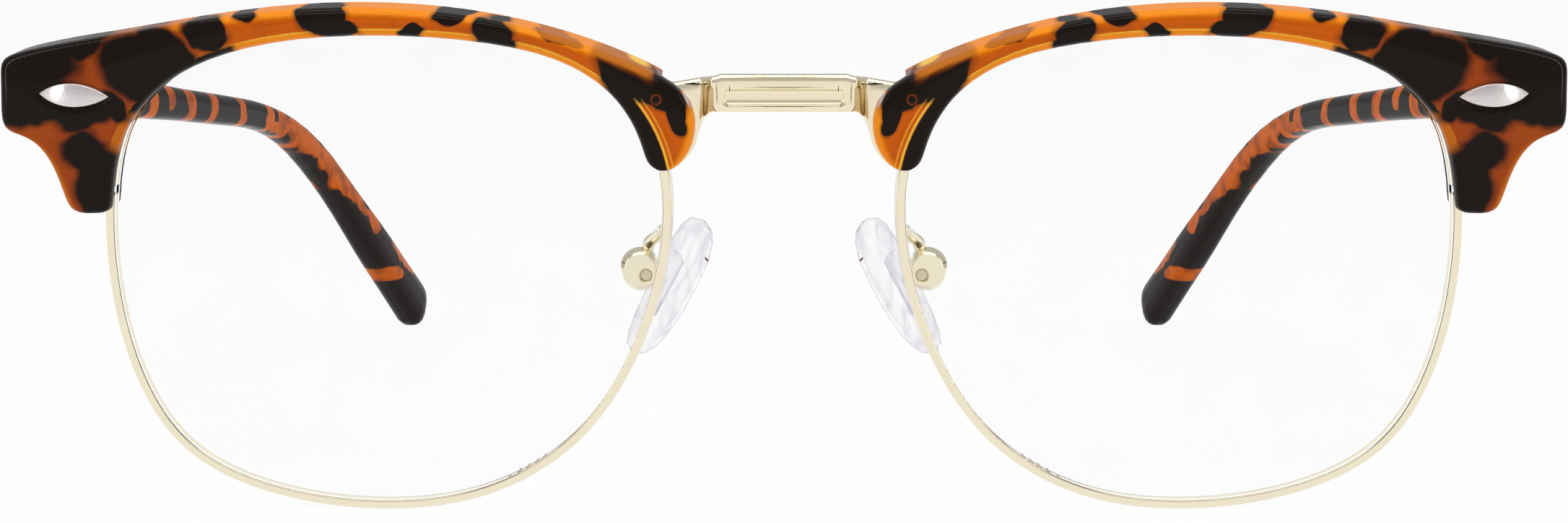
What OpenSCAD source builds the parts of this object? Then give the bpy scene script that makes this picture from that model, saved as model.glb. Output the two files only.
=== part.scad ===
// Browline glasses, open, standing on the bottoms of the rims and the tips of the temples.
// X runs to the wearer's left, Y from the front to the ears, Z up, and the origin lies on the
// ground under the middle of the whole object. Sizes are millimetres, angles degrees.
// Each side is drawn once, for the wearer's left, and mirrored for the right.
// A lens is drawn in its own plane: u towards the temple, v up, d the depth behind the
// middle surface of the lens, which is part of a sphere.

/* [Lenses] */
// Width of a lens, bevel included
lens_w = 51.3; // [46:0.1:56]
// Height of a lens, bevel included
lens_h = 44.4; // [40:0.2:48]
// Shortest distance between the two lenses
bridge_w = 21.2; // [17:0.2:25]
// Thickness of a lens
lens_t = 1.8; // [1.2:0.1:1.8]
// Height of the bevel round a lens
bevel_h = 0.4; // [0.2:0.05:0.45]
// Width of the bevel round a lens
bevel_w = 0.9; // [0.5:0.05:1.2]
// Radius of the sphere that the front follows
curve_r = 130; // [100:5:180]
// Turn of each lens round the face
wrap = 5; // [3:0.5:7]
// Lean of the front, top forward
tilt = 6; // [3:0.5:9]

/* [Rims] */
// Width of the rim wire, seen from the front
rim_w = 0.8; // [0.7:0.05:1]
// Depth of the rim wire, front to back
rim_d = 2; // [2:0.1:2.4]
// Cut through the rim at its closing block
rim_cut = 0.15; // [0.1:0.05:0.3]
// Radius of the screw that closes the rim
rim_screw_r = 0.4; // [0.3:0.05:0.5]

/* [Brows] */
// Wall of the brow in front of the rim
brow_front = 2.1; // [1.8:0.1:2.6]
// Lip of the brow behind the rim
brow_rear = 1; // [0.8:0.1:1.6]
// Height of the brow over the top of the lens
brow_rise = 2; // [1.6:0.1:3]
// How far the brow laps over the edge of the lens
brow_lap = 0.3; // [0.1:0.05:0.5]
// Rounding along the outer edges of the brow
brow_round = 0.6; // [0.3:0.05:0.8]
// Bevel along the lens side, over the middle of the lens
brow_bevel = 0.8; // [0.5:0.05:1.2]
// Reach of the end piece past the lens
end_reach = 10.3; // [9.5:0.1:12]
// Height of the end piece
end_h = 6.8; // [6.4:0.1:7.6]
// Where the flat back of the end piece lies behind the top of the bridge
end_back = 9.2; // [8.6:0.1:10.5]

/* [Plaques] */
// Length of the almond plaque
plaque_w = 7; // [5.6:0.1:7.4]
// Height of the almond plaque
plaque_h = 2.1; // [1.6:0.1:2.6]
// How far the plaque stands out
plaque_proud = 0.4; // [0.2:0.05:0.6]
// Radius of the two rivets behind each plaque
rivet_r = 0.5; // [0.35:0.05:0.6]

/* [Bridge] */
// Height of the bridge bar
bar_h = 3.4; // [2.6:0.1:3.8]
// Thickness of the bridge bar
bar_t = 1.8; // [1.4:0.1:2]
// Half the length of the thick middle block
block_half = 6.5; // [5.6:0.1:6.6]
// How far the block and the top ridge stand proud of the arms
ridge_t = 0.3; // [0.15:0.05:0.4]
// Length of the sunk panel in the block
panel_w = 10.6; // [8:0.2:10.8]
// Height of the sunk panel
panel_h = 1.3; // [1:0.1:1.6]
// Depth of the sunk panel
panel_sunk = 0.3; // [0.15:0.05:0.5]

/* [Nose pads] */
// Length of a nose pad
pad_l = 14; // [12:0.2:16]
// Width of a nose pad
pad_w = 7; // [5.6:0.2:8]
// Thickness of a nose pad
pad_t = 2.5; // [2:0.1:3]
// Radius of the pad arm wire
arm_r = 0.6; // [0.45:0.05:0.7]
// Radius of the pad screw
pad_screw_r = 0.5; // [0.35:0.05:0.55]
// Depth of the pad box, front to back
box_d = 2.8; // [2.6:0.1:3.4]

/* [Temples] */
// Length of a temple along its curve
temple_l = 144.5; // [138:0.5:150]
// Height of a temple at the hinge
temple_h = 6.8; // [6:0.1:7.4]
// Height of a temple along its slim stretch
temple_slim = 3.2; // [3:0.1:5]
// Height of a temple at the ear end
ear_h = 6.2; // [5:0.1:9]
// Thickness of a temple at the hinge
temple_t = 3.5; // [3.3:0.1:4]
// Radius of the wire inside a temple
core_r = 0.55; // [0.4:0.05:0.6]
// Where the bend round the ear starts, from the hinge
bend_start = 63; // [56:1:74]
// Length of the bend
bend_l = 48; // [40:1:60]
// Inward turn of the ear end, a turn down being found so that the tips reach the ground
ear_in = 11; // [8:0.5:16]

/* [Hinges] */
// Outer radius of the hinge barrel
barrel_r = 1.2; // [1:0.05:1.4]
// Height of one of the five knuckles
knuckle_h = 1; // [0.8:0.05:1.1]
// Radius of the hinge screw
hinge_screw_r = 0.6; // [0.4:0.05:0.7]
// Thickness of the hinge plates
plate_t = 0.9; // [0.7:0.05:1]
// Height of the hinge plates
plate_h = 5; // [4.4:0.1:5.4]

/* [Fits] */
// Gap between parts that are fixed together
seat_gap = 0.05; // [0.02:0.01:0.1]
// Radial clearance of a part that turns on a screw
run_gap = 0.04; // [0.02:0.01:0.08]
// Gap between the front and a temple that moves past it
hinge_gap = 0.2; // [0.15:0.05:0.35]

/* [Hidden] */
$fn = 48;
ball_fn = 200;

// Colours
tortoise = [0.5, 0.24, 0.08];
gold = [0.87, 0.81, 0.66];
silver = [0.86, 0.84, 0.83];
steel = [0.72, 0.72, 0.74];
clear = [0.85, 0.9, 0.92, 0.35];

// Curves. A control point may hold any number of values, and all of them are blended alike.
function blend4(a, b, c, d, t) =
    (pow(1 - t, 3) * a + (3 * pow(t, 3) - 6 * t * t + 4) * b
    + (-3 * pow(t, 3) + 3 * t * t + 3 * t + 1) * c + pow(t, 3) * d) / 6;
function closed_at(p, x) =
    let (n = len(p), i = floor(x), t = x - i)
    blend4(p[(i - 1 + 2 * n) % n], p[(i + 2 * n) % n], p[(i + 1 + 2 * n) % n], p[(i + 2 + 2 * n) % n], t);
function open_at(p, x) =
    let (n = len(p), i = min(floor(x), n - 2), t = x - i,
        before = i == 0 ? 2 * p[0] - p[1] : p[i - 1],
        after = i == n - 2 ? 2 * p[n - 1] - p[n - 2] : p[i + 2])
    blend4(before, p[i], p[i + 1], after, t);
function smooth(x) = let (t = max(0, min(1, x))) t * t * (3 - 2 * t);
function mix(a, b, t) = a + (b - a) * t;
function unit(a) = a / norm(a);

// A skin over rings of points, each ring with the same number of points, closed at both ends.
// Each end is one face, or the given faces, which name the points of their ring.
module skin(rings, first = [], final = []) {
    n = len(rings[0]);
    last = len(rings) - 1;
    points = [for (ring = rings) each ring];
    sides = [for (i = [0 : last - 1], j = [0 : n - 1])
        let (k = (j + 1) % n) [i * n + j, i * n + k, (i + 1) * n + k, (i + 1) * n + j]];
    all = [for (j = [0 : n - 1]) j];
    start = [for (face = len(first) > 0 ? first : [all]) [for (j = [len(face) - 1 : -1 : 0]) face[j]]];
    end = [for (face = len(final) > 0 ? final : [all]) [for (j = face) last * n + j]];
    polyhedron(points, concat(sides, start, end), convexity = 8);
}

// Triangles from one corner of a face to each side that lies between two others
function fan(hub, from, to, n) = [for (j = [from : to - 1]) [hub, j % n, (j + 1) % n]];

// Lens outline. The control points are drawn for a lens about 52 mm wide and 45 mm high,
// clockwise from the top, and the curve is then fitted to the real width and height.
rim_shape = [[0, 23.4], [9.5, 22.8], [18.5, 20.2], [24.5, 15], [26.3, 7], [26, -3], [23.9, -11.8],
    [19.4, -19.2], [9, -22.8], [-2.5, -23.2], [-11.3, -20.9], [-19, -15.1], [-23.9, -5.9],
    [-26.3, 4.3], [-25.4, 13.7], [-18.9, 20.8], [-9.5, 22.9]];
rim_steps = 10;
drawn = [for (i = [0 : len(rim_shape) * rim_steps - 1]) closed_at(rim_shape, i / rim_steps)];
drawn_lo = [min([for (p = drawn) p.x]), min([for (p = drawn) p.y])];
drawn_hi = [max([for (p = drawn) p.x]), max([for (p = drawn) p.y])];
drawn_mid = (drawn_lo + drawn_hi) / 2;
drawn_size = drawn_hi - drawn_lo;
function edge_at(t) = let (p = closed_at(rim_shape, t) - drawn_mid)
    [p.x * lens_w / drawn_size.x, p.y * lens_h / drawn_size.y];
function edge_out(t) = let (s = edge_at(t + 0.02) - edge_at(t - 0.02)) unit([-s.y, s.x]);
// A point at station t, moved outwards by out from the tip of the bevel
function edge(t, out) = edge_at(t) + out * edge_out(t);
function edge_loop(out) = [for (i = [0 : len(rim_shape) * rim_steps - 1]) edge(i / rim_steps, out)];
opening_out = -bevel_h;
rim_out = rim_w - bevel_h;

// From the lens plane to the glasses. lens_z stands the rims on the ground.
function sag(u, v) = curve_r - sqrt(curve_r * curve_r - u * u - v * v);
function leant(u, v, d) =
    let (y = u * sin(wrap) + (sag(u, v) + d) * cos(wrap), x = u * cos(wrap) - (sag(u, v) + d) * sin(wrap))
    [x, y * cos(tilt) - v * sin(tilt), y * sin(tilt) + v * cos(tilt)];
lens_x = (lens_w + bridge_w) / 2;
lens_z = -min([for (p = edge_loop(rim_out)) min(leant(p.x, p.y, -rim_d / 2).z, leant(p.x, p.y, rim_d / 2).z)]);
function placed(u, v, d) = leant(u, v, d) + [lens_x, 0, lens_z];
// The depth at which a point of the lens plane lies y behind the top of the bridge
function depth_at(u, v, y) = ((y + v * sin(tilt)) / cos(tilt) - u * sin(wrap)) / cos(wrap) - sag(u, v);

// Brow. Each row is a control point of the outer outline, the station on the rim that it
// faces, the lap over the lens there and the width of the bevel on the lens side.
half_w = lens_w / 2;
half_h = lens_h / 2;
arch_h = half_h + brow_rise;
end_u = half_w + end_reach;
end_top = half_h * 0.84;
end_foot = end_top - end_h;
end_lean = 0.24;
leg_foot = half_h * 0.22;
nose_foot = half_h * 0.43;
nose_u = -half_w - 2.8;
leg_lap = brow_lap + 0.2;
function arch(x, fall) = [x * half_w, arch_h - fall * half_h / 22.3];
side_lap = 0.06;
brow_rows = [
    each [[nose_u + 2.9, nose_foot, -3.36, 0.1, 0.5],
        [nose_u + 1.9, nose_foot + 0.1, -3.3, 0.6, 1.1],
        [nose_u + 0.5, nose_foot + 1.7, -3.2, leg_lap + 0.3, 2 * brow_bevel],
        [nose_u, nose_foot + 4.3, -3, leg_lap + 0.15, 1.8 * brow_bevel],
        [nose_u + 0.9, nose_foot + 7, -2.75, leg_lap, 1.5 * brow_bevel],
        [nose_u + 3.9, nose_foot + 8.8, -2.45, brow_lap, 1.2 * brow_bevel]],
    each [for (a = [[-0.79, 3.9, -2.1], [-0.58, 2.1, -1.55], [-0.31, 0.6, -0.8], [0, 0, 0],
            [0.31, 0.3, 0.85], [0.62, 1.4, 1.6], [0.93, 3, 2.15]])
        let (p = arch(a[0], a[1])) [p.x, p.y, a[2], brow_lap, brow_bevel]],
    each [[end_u - 6, end_top + 6 * end_lean, 2.5, brow_lap, brow_bevel],
        [end_u - 1.8, end_top + 1.8 * end_lean, 2.75, brow_lap, brow_bevel],
        [end_u - 0.1, end_top - 0.2, 2.9, brow_lap * 0.75, brow_bevel],
        [end_u, end_top - 1.4, 2.98, brow_lap * 0.6, brow_bevel],
        [end_u - 0.1, end_top - end_h / 2, 3.1, brow_lap * 0.4, brow_bevel],
        [end_u, end_foot + 0.6, 3.25, side_lap, brow_bevel],
        [end_u - 1, end_foot - 0.1, 3.35, side_lap, brow_bevel]],
    each [[end_u - 3.2, end_foot - 0.4, 3.48, side_lap, brow_bevel],
        [half_w + 5.2, (end_foot + leg_foot) / 2 + 1.2, 3.65, side_lap, brow_bevel],
        [half_w + 4.1, leg_foot + 1.9, 3.95, side_lap, brow_bevel],
        [half_w + 3.6, leg_foot + 0.4, 4.08, side_lap * 0.7, brow_bevel * 0.8],
        [half_w + 2.6, leg_foot - 0.2, 4.15, 0, brow_bevel * 0.4]]];
brow_last = len(brow_rows) - 1;
// The bridge foot lies behind the brow up to this row, where the brow gets its full depth
notch_row = 4.75;
notch_step = 0.04;
brow_stations = concat(
    [for (i = [0 : 13]) i / 3],
    [notch_row - notch_step, notch_row + notch_step],
    [for (i = [15 : 3 * brow_last]) i / 3]);
front_d = -rim_d / 2 - brow_front;
seat_d = -rim_d / 2 - seat_gap;
lip_d = rim_d / 2 + brow_rear;
// The back of the brow steps out to a flat face behind the end piece, past a ramp in u.
// What lies behind the rear lip runs straight back instead of following the lean.
ramp_u = half_w + 0.3;
ramp_w = 1;
function end_share(x) = smooth(x - 12.4) * smooth((20.6 - x) / 0.9);
function upright(v, d) = v - tan(tilt) * max(0, d - lip_d);
function back_d(u, v, x) =
    let (full = depth_at(u, upright(v, depth_at(u, v, end_back)), end_back))
    mix(lip_d, full, end_share(x) * max(0, min(1, (u - ramp_u) / ramp_w)));
// Both ends of the brow are rounded by drawing the last sections in
function end_inset(x) = 0.5 * max(pow(max(0, 1 - x / 0.7), 2), pow(max(0, 1 - (brow_last - x) / 0.7), 2));

function brow_section(x) =
    let (row = open_at(brow_rows, x), t = row[2], inset = end_inset(x),
        i0 = edge(t, opening_out - row[3]), o0 = [row[0], row[1]], across = unit(o0 - i0),
        i = i0 + inset * across, w = norm(o0 - i0) - 2 * inset,
        floor_uv = edge(t, rim_out + seat_gap),
        r = min(brow_round, w / 4), b = min(row[4], w / 2), f = front_d + inset,
        shallow = x < notch_row,
        ramp = function (u) across.x < 0.2 ? w / 2 : max(0.5, min(w - r - 0.1, (u - i.x) / across.x)),
        low = ramp(ramp_u), high = max(low + 0.05, ramp(ramp_u + ramp_w)),
        back = function (s) let (p = i + s * across) back_d(p.x, p.y, x) - inset,
        front = [[0, seat_d], [0, f + 1.15], [0.3 * b, f + 0.55], [b, f + 0.12],
            [(b + w) / 2, f], [w - r, f + 0.03], [w - 0.3 * r, f + 0.3 * r], [w, f + r]],
        deep = [[w, back(w) - r], [w - 0.3 * r, back(w) - 0.3 * r], [w - r, back(w - r)],
            [(high + w - r) / 2, back((high + w - r) / 2)], [high, back(high)], [low, back(low)],
            [0.4, lip_d - inset], [0, lip_d - inset - 0.4], [0, rim_d / 2 + seat_gap]],
        flat = [for (k = [0 : 8]) [w * (1 - 0.105 * k), seat_d - (k == 0 ? 0.2 : 0)]])
    concat(
        [for (q = concat(front, shallow ? flat : deep)) let (p = i + q[0] * across)
            placed(p.x, upright(p.y, q[1]), q[1])],
        shallow
            ? [for (k = [0.1, 0.05]) let (p = i + k * w * across) placed(p.x, p.y, seat_d)]
            : [for (d = [rim_d / 2 + seat_gap, seat_d]) placed(floor_uv.x, floor_uv.y, d)]);
brow_rings = [for (x = brow_stations) brow_section(x)];
// The last section has its groove between points 16 and 0, with corners 17 and 18 on the rim
brow_n = len(brow_rings[0]);
nose_cap = fan(4, 5, 4 + brow_n - 1, brow_n);
leg_cap = concat(fan(18, 0, 8, brow_n), [[18, 8, 17]], fan(17, 8, 16, brow_n));

// Temples. The centre line turns in and down along a smooth bend.
temple_in = 7;
temple_down = 5.4;
temple_gap = hinge_gap;
end_mid = placed(end_u, end_top - end_h / 2, depth_at(end_u, end_top - end_h / 2, end_back));
temple_start = [end_mid.x - temple_t / 2 - 0.1, end_back + temple_gap, end_mid.z];
function yaw(s) = mix(temple_in, ear_in, smooth((s - bend_start) / bend_l));
function heading_for(s, drop) =
    let (a = yaw(s), b = mix(temple_down, drop, smooth((s - bend_start) / bend_l)))
    [-sin(a) * cos(b), cos(a) * cos(b), -sin(b)];
path_step = 1;
function path_for(drop) = [for (i = 0, p = temple_start; i <= temple_l / path_step;
    p = p + path_step * heading_for((i + 0.5) * path_step, drop), i = i + 1) p];
function path_point(path, s) = let (i = min(floor(s / path_step), len(path) - 2), t = s / path_step - i)
    path[i] + (path[i + 1] - path[i]) * t;
tip_l = ear_h * 0.6;
// Lowest point of the tip for a given downward turn, and the turn that brings it to the ground
function tip_low(drop) = let (path = path_for(drop)) min([for (k = [0 : 0.1 : 1])
    let (s = temple_l - tip_l * (1 - k)) path_point(path, s).z - tip_scale(s) * ear_h / 2 * cos(drop) * 0.985]);
function drop_from(a, b, n) = n == 0 ? b :
    drop_from(b, b - tip_low(b) * (b - a) / (tip_low(b) - tip_low(a)), n - 1);
ear_drop = drop_from(28, 32, 4);
temple_path = path_for(ear_drop);
function heading(s) = heading_for(s, ear_drop);
function side_way(s) = [cos(yaw(s)), sin(yaw(s)), 0];
function path_at(s) = path_point(temple_path, s);
// Height and thickness along the temple, by share of its length
temple_rows = [[0, temple_h, temple_t], [0.07, temple_h * 0.85, temple_t * 0.97],
    [0.18, temple_slim * 1.25, temple_t * 0.92], [0.32, temple_slim * 1.08, temple_t * 0.88],
    [0.52, temple_slim, temple_t * 0.88], [0.72, mix(temple_slim, ear_h, 0.35), temple_t],
    [0.88, ear_h * 0.9, temple_t * 1.15], [1, ear_h, temple_t * 1.15]];
function row_at(rows, x, k) =
    let (i = max([for (j = [0 : len(rows) - 2]) if (rows[j][0] <= x) j]), a = rows[i], b = rows[i + 1])
    mix(a[k], b[k], smooth((x - a[0]) / (b[0] - a[0])));
function temple_size(s) = [row_at(temple_rows, s / temple_l, 2), row_at(temple_rows, s / temple_l, 1)];
// A rounded section, wide in the side direction and high in the up direction
function oval(n, power) = [for (j = [0 : n - 1]) let (a = 360 * (j + 0.5) / n)
    [sign(cos(a)) * pow(abs(cos(a)), power), sign(sin(a)) * pow(abs(sin(a)), power)]];
function tip_scale(s) = let (x = max(0, (s - temple_l + tip_l) / tip_l)) sqrt(max(0.02, 1 - x * x));
function temple_ring(s, shape) =
    let (p = path_at(s), side = side_way(s), up = cross(side, heading(s)), size = temple_size(s) * tip_scale(s) / 2)
    [for (q = shape) p + side * q.x * size.x + up * q.y * size.y];
body_stations = concat([0, 0.5, 2, 5, 8, 11], [for (s = [15 : 5 : temple_l - tip_l - 2]) s],
    [for (k = [0, 0.3, 0.55, 0.75, 0.9, 0.97, 1]) temple_l - tip_l * (1 - k)]);
temple_shape = oval(16, 0.75);
temple_rings = [for (i = [0 : len(body_stations) - 1]) let (s = body_stations[i])
    i == 0 ? temple_face(temple_ring(s, temple_shape)) : temple_ring(s, temple_shape)];
// The front end is cut flat, parallel to the back of the end piece
function temple_face(ring) = [for (p = ring) let (h = heading(0)) p + h * (temple_start.y - p.y) / h.y];

// Wire in the temple, a little outside the middle, from the front end to near the tip
core_stop = temple_l - tip_l - 6;
core_shift = 0.25;
core_stations = concat([0], [for (s = [10 : 6 : core_stop - 3]) s], [core_stop]);
function core_ring(s, r) =
    let (p = path_at(s) + side_way(s) * core_shift, side = side_way(s), up = cross(side, heading(s)))
    [for (j = [0 : 7]) let (a = 45 * (j + 0.5)) p + side * r * cos(a) + up * r * sin(a)];

// Ends of the whole object, which set the origin
front_y = min([for (ring = brow_rings) min([for (p = ring) p.y])]);
back_y = max([for (ring = temple_rings) max([for (p = ring) p.y])]);
shift_y = -(front_y + back_y) / 2;

// Hinge. The axis stands upright in the corner between the end piece and the temple.
leaf_reach = barrel_r + hinge_gap;
inner_x = temple_start.x - temple_t / 2 / cos(temple_in);
axis_y = end_back + leaf_reach;
axis_x = inner_x - (axis_y - temple_start.y) * tan(temple_in) - leaf_reach / cos(temple_in);
axis_z = end_mid.z;
knuckle_gap = 0.06;
knuckle_pitch = knuckle_h + knuckle_gap;
hinge_h = 5 * knuckle_h + 4 * knuckle_gap;
web_w = barrel_r * 1.4;
front_plate_h = max(plate_h, hinge_h + 0.1);
front_plate_in = axis_x - lens_x - ramp_u - ramp_w + 0.2;
temple_plate_l = 7;
temple_plate_h = plate_h * 0.8;
stud_r = 0.35;
stud_l = 1;

// Plaque. Its middle lies over the rivets, which run straight back through the end piece.
plaque_u = half_w + 2.75;
plaque_v = end_top - end_h * 0.45;
plaque_at = placed(plaque_u, plaque_v, front_d);
plaque_sunk = 0.5;
rivet_half = plaque_w * 0.19;
almond_r = (plaque_w * plaque_w + plaque_h * plaque_h) / (4 * plaque_h);

// Closing block of the rim, on its outer side behind the leg of the brow
block_v = leg_foot + 2.4;
block_w = 1.8;
block_len = 1.3;
block_d = rim_d - 0.3;
block_u = edge_at(3.95).x + rim_out;
ear_w = 2.1;
ear_t = 0.8;
screw_head = 0.4;

// Screws that hold the brow
nasal_u = nose_u + 3.7;
nasal_v = nose_foot + 5.85;
brow_screw_r = 0.5;
brow_screw_in = 1.3;
foot_t = 1.7;

// Bridge: half heights and depths along x
bar_top = placed(nose_u + 3.3, nose_foot + 8, 0).z + 0.35;
arm_end = placed(nose_u + 2.2, nose_foot, 0).x;
bar_front = -2.6;

// Nose pads. The screw runs front to back, and the pad rocks on it.
pad_pivot = [bridge_w / 2 + 2.2, 8.4, lens_z - 1.1];
pad_lean = 28;
pad_splay = 27;
pad_off = 3;
pad_low = 0.2;
eye_t = 0.8;
eye_r = pad_screw_r + 0.5;
slot_t = eye_t + 0.2;
ear_r = pad_screw_r + 0.6;
// Circles that the outline of the pad box is made of: middle and radius
box_rounds = [[0, 0, ear_r], [0.65, 0.85, 1.7], [0.5, 0.2, 1.65]];
box_top = 2.3;
peg_x = -0.1;
peg_r = arm_r * 0.7;
peg_l = 0.8;

// Puts what is drawn in the lens plane, with y as depth, in its place
module in_lens_plane() {
    translate([lens_x, 0, lens_z]) rotate([tilt, 0, 0]) rotate([0, 0, wrap]) children();
}

// Turns y into the depth at a point of the sphere that the front follows, d deep
module on_sphere(u, v, d) {
    r = curve_r - d;
    up = asin(v / r);
    out = asin(u / (r * cos(up)));
    translate([0, curve_r, 0]) rotate([0, 0, out]) rotate([-up, 0, 0]) translate([0, -r, 0]) children();
}

// A plate with the given outline, between two depths, curved like the front
module curved_plate(outline, from, to) {
    reach = 30;
    intersection() {
        rotate([90, 0, 0]) translate([0, 0, -reach / 2]) linear_extrude(reach) polygon(outline);
        translate([0, curve_r, 0]) sphere(curve_r - from, $fn = ball_fn);
    }
}

module shell(outline, from, to) {
    difference() {
        curved_plate(outline, from, to);
        translate([0, curve_r, 0]) sphere(curve_r - to, $fn = ball_fn);
    }
}

module pin(r, from, to) {
    translate([0, from, 0]) rotate([-90, 0, 0]) cylinder(r = r, h = to - from);
}

module side_of(name) {
    translate([0, shift_y, 0]) mirror([name == "right" ? 1 : 0, 0, 0]) children();
}

module rim() {
    color(gold) in_lens_plane() difference() {
        shell(edge_loop(rim_out), -rim_d / 2, rim_d / 2);
        rotate([90, 0, 0]) translate([0, 0, -15]) linear_extrude(30) polygon(edge_loop(opening_out));
        shell(edge_loop(seat_gap), -bevel_w / 2 - seat_gap, bevel_w / 2 + seat_gap);
        translate([block_u - rim_w * 2, -5, block_v - rim_cut / 2]) cube([rim_w * 3, 15, rim_cut]);
    }
}

module lens() {
    color(clear) in_lens_plane() union() {
        shell(edge_loop(opening_out - seat_gap), -lens_t / 2, lens_t / 2);
        shell(edge_loop(0), -bevel_w / 2, bevel_w / 2);
    }
}

module almond(grow) {
    r = almond_r + grow;
    drop = almond_r - plaque_h / 2;
    intersection() {
        translate([0, drop]) circle(r);
        translate([0, -drop]) circle(r);
    }
}

// The almond's face is drawn along y, with its front towards the wearer's front
module almond_block(grow, from, to) {
    rotate([90, 0, 0]) translate([0, 0, -to]) linear_extrude(to - from) almond(grow);
}

module plaque_place() {
    in_lens_plane() on_sphere(plaque_u, plaque_v, front_d) children();
}

module rivets(r, to) {
    for (x = [-rivet_half, rivet_half])
        translate([plaque_at.x + x, 0, plaque_at.z]) pin(r, plaque_at.y + x * 0.3 + plaque_sunk - 0.2, to);
}

module end_plaque() {
    dome_r = 12;
    color(silver) union() {
        plaque_place() intersection() {
            almond_block(0, -plaque_proud, plaque_sunk - seat_gap);
            translate([0, dome_r - plaque_proud, 0]) sphere(dome_r, $fn = 120);
        }
        rivets(rivet_r, end_back - 0.02);
    }
}

module front_plate(grow, depth) {
    translate([axis_x - front_plate_in - grow, end_back - depth, axis_z - front_plate_h / 2 - grow])
        cube([inner_x - 0.3 - axis_x + front_plate_in + 2 * grow, depth + (grow > 0 ? 1 : 0), front_plate_h + 2 * grow]);
}

module brow() {
    color(tortoise) difference() {
        skin(brow_rings, nose_cap, leg_cap);
        plaque_place() almond_block(0.12, -3, plaque_sunk);
        rivets(rivet_r + seat_gap, end_back + 1);
        front_plate(seat_gap, plate_t + seat_gap);
        in_lens_plane() {
            translate([block_u - 0.2, -rim_d / 2 + sag(block_u, block_v), block_v - block_len - 0.6])
                cube([block_w + 0.4, 6, 2 * block_len + 0.8]);
            translate([block_u + block_w - 0.4, block_d / 2 - ear_t - 0.1 + sag(block_u, block_v), block_v])
                cube([ear_w + 0.7, 6, ear_w + 0.4]);
            end_screw_place() pin(brow_screw_r + seat_gap, -brow_screw_in - 0.9, 1);
            on_sphere(nasal_u, nasal_v, seat_d) pin(brow_screw_r + seat_gap, -brow_screw_in - 0.1, 1);
            rim_room(notch_in, 1.5);
            rim_room(edge(4.15, 0), 0.9);
        }
    }
}

// The room that the rim and the lens need, within reach of a point of the lens plane
module rim_room(at, reach) {
    intersection() {
        shell(edge_loop(rim_out + 2.4 * seat_gap), -rim_d / 2 - 2.4 * seat_gap, rim_d / 2 + 2.4 * seat_gap);
        translate([at.x - reach, -rim_d, at.y - reach]) cube([2 * reach, 8, 2 * reach]);
    }
}

// The two halves of the block that closes the rim. The upper one has an ear for the brow.
module closing_block() {
    base = sag(block_u, block_v);
    color(gold) in_lens_plane() difference() {
        union() {
            for (side = [-1, 1])
                translate([block_u - 1.2, base - block_d / 2, block_v + (side > 0 ? rim_cut / 2 : -block_len)])
                    cube([block_w + 1.2, block_d, block_len - rim_cut / 2]);
            translate([block_u + block_w - 0.2, base + block_d / 2 - ear_t, block_v + rim_cut / 2])
                cube([ear_w + 0.2, ear_t, ear_w]);
        }
        rotate([90, 0, 0]) translate([0, 0, -15]) linear_extrude(30) polygon(edge_loop(rim_out + seat_gap));
        translate([block_u + block_w / 2 + 0.1, base, block_v - block_len - 1]) cylinder(r = rim_screw_r + seat_gap, h = 4);
        end_screw_place() pin(brow_screw_r + seat_gap, -2, 3);
    }
}

module end_screw_place() {
    translate([block_u + block_w + ear_w / 2 + 0.1, sag(block_u, block_v) + block_d / 2 - ear_t, block_v + ear_w / 2])
        children();
}

module screw_slot(r, depth) {
    cube([2.4 * r, 2 * depth, 0.3], center = true);
}

module rim_screw() {
    low = block_v - block_len;
    color(steel) in_lens_plane() translate([block_u + block_w / 2 + 0.1, sag(block_u, block_v), low]) difference() {
        union() {
            cylinder(r = rim_screw_r, h = 2 * block_len);
            translate([0, 0, -screw_head]) cylinder(r = rim_screw_r + 0.25, h = screw_head - 0.02);
        }
        translate([0, 0, -screw_head]) rotate([90, 0, 0]) screw_slot(rim_screw_r + 0.25, 0.15);
    }
}

module end_screw() {
    color(steel) in_lens_plane() end_screw_place() difference() {
        union() {
            pin(brow_screw_r, -brow_screw_in - 0.8, ear_t + 0.1);
            pin(brow_screw_r + 0.35, ear_t + 0.02, ear_t + screw_head);
        }
        translate([0, ear_t + screw_head, 0]) screw_slot(brow_screw_r + 0.35, 0.15);
    }
}

module nasal_screw() {
    color(steel) in_lens_plane() on_sphere(nasal_u, nasal_v, seat_d) difference() {
        union() {
            pin(brow_screw_r, -brow_screw_in, foot_t + 0.1);
            pin(brow_screw_r + 0.4, foot_t + 0.1, foot_t + 0.1 + screw_head);
        }
        translate([0, foot_t + 0.1 + screw_head, 0]) screw_slot(brow_screw_r + 0.4, 0.15);
    }
}

// One leaf's knuckles, with webs along y from the barrel to reach
module knuckles(which, reach) {
    for (k = which)
        translate([0, 0, -hinge_h / 2 + k * knuckle_pitch]) {
            cylinder(r = barrel_r, h = knuckle_h);
            translate([-web_w / 2, 0, 0]) cube([web_w, reach, knuckle_h]);
        }
}

module hinge_bore() {
    translate([0, 0, -hinge_h]) cylinder(r = hinge_screw_r + run_gap, h = 2 * hinge_h);
}

module front_hinge() {
    color(gold) difference() {
        union() {
            front_plate(0, plate_t);
            translate([axis_x, axis_y, axis_z]) rotate([0, 0, 180]) knuckles([0, 2, 4], leaf_reach + plate_t / 2);
        }
        translate([axis_x, axis_y, axis_z]) hinge_bore();
        rivets(rivet_r + seat_gap, end_back + 1);
    }
}

module hinge_screw() {
    color(steel) translate([axis_x, axis_y, axis_z - hinge_h / 2]) difference() {
        union() {
            cylinder(r = hinge_screw_r, h = hinge_h + 0.1);
            translate([0, 0, hinge_h + 0.03]) cylinder(r = hinge_screw_r + 0.4, h = screw_head + 0.1);
        }
        translate([0, 0, hinge_h + screw_head + 0.13]) rotate([90, 0, 0]) screw_slot(hinge_screw_r + 0.4, 0.2);
    }
}

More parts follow.
